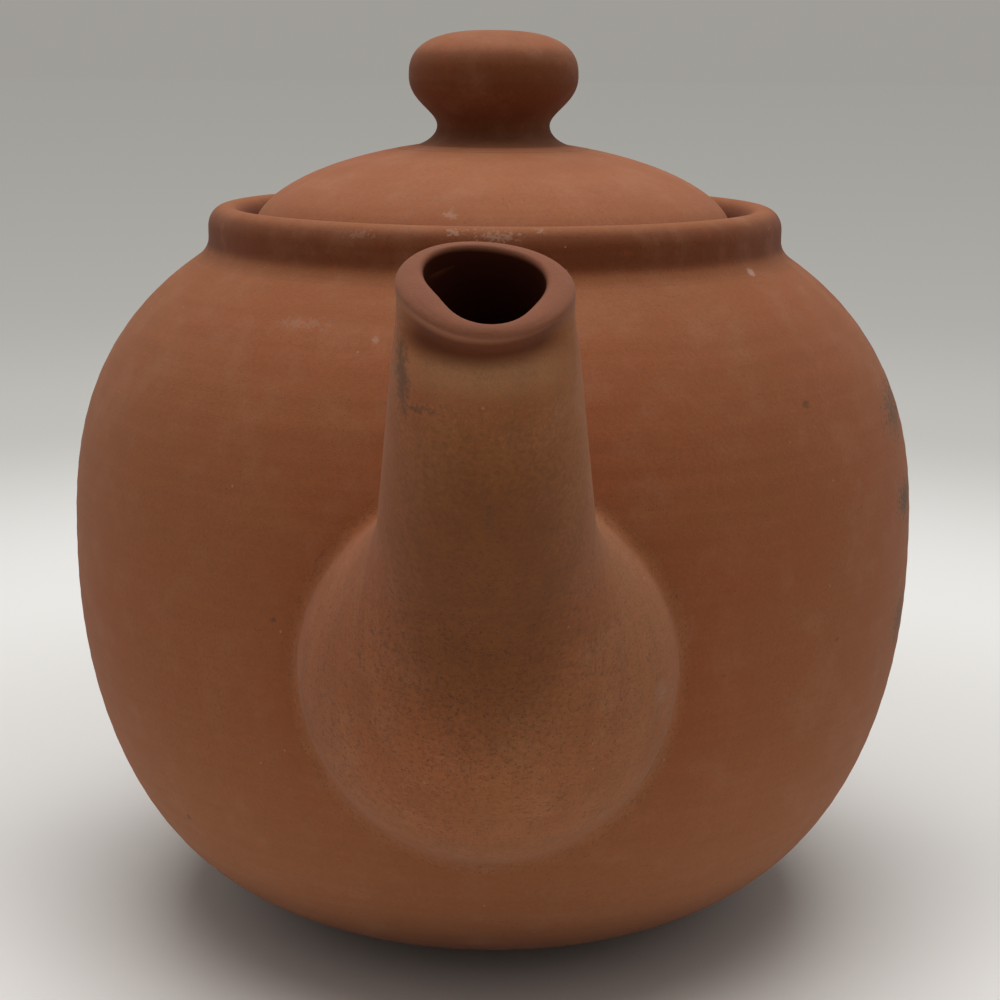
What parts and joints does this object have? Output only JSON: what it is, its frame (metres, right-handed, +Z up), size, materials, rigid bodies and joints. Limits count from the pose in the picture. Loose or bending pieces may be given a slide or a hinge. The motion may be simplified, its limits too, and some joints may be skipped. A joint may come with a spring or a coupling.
{
  "type": "teapot",
  "caption": "Round unglazed terracotta teapot with a tapered spout, a looped handle, a raised collar and a loose domed lid with a ball knob.",
  "frame": {"origin": "centre of the circle that the foot ring stands on, on the pot's axis", "axes": "+Z up along the pot's axis, -Y towards the spout, +Y towards the handle, +X to the right when the spout faces the viewer"},
  "size_m": [0.13, 0.2179, 0.1366],
  "materials": {
    "pot_clay": "dry matt unglazed red clay",
    "spout_clay": "dry matt unglazed red clay, slightly smoked",
    "handle_clay": "matt unglazed red clay, smoothed by hands",
    "lid_clay": "dry matt unglazed red clay",
    "knob_clay": "matt unglazed red clay, smoothed by fingers"
  },
  "bodies": {
    "pot": {"pot_body": "pot_clay", "neck_collar": "pot_clay", "foot_ring": "pot_clay", "spout": "spout_clay", "handle": "handle_clay"},
    "lid": {"lid_dome": "lid_clay", "lid_flange": "lid_clay", "lid_knob": "knob_clay"}
  },
  "joints": [
    {"name": "lid_lift", "type": "slide", "parent": "pot", "child": "lid", "axis": [0, 0, 1], "range_m": [0, 0.06]}
  ]
}
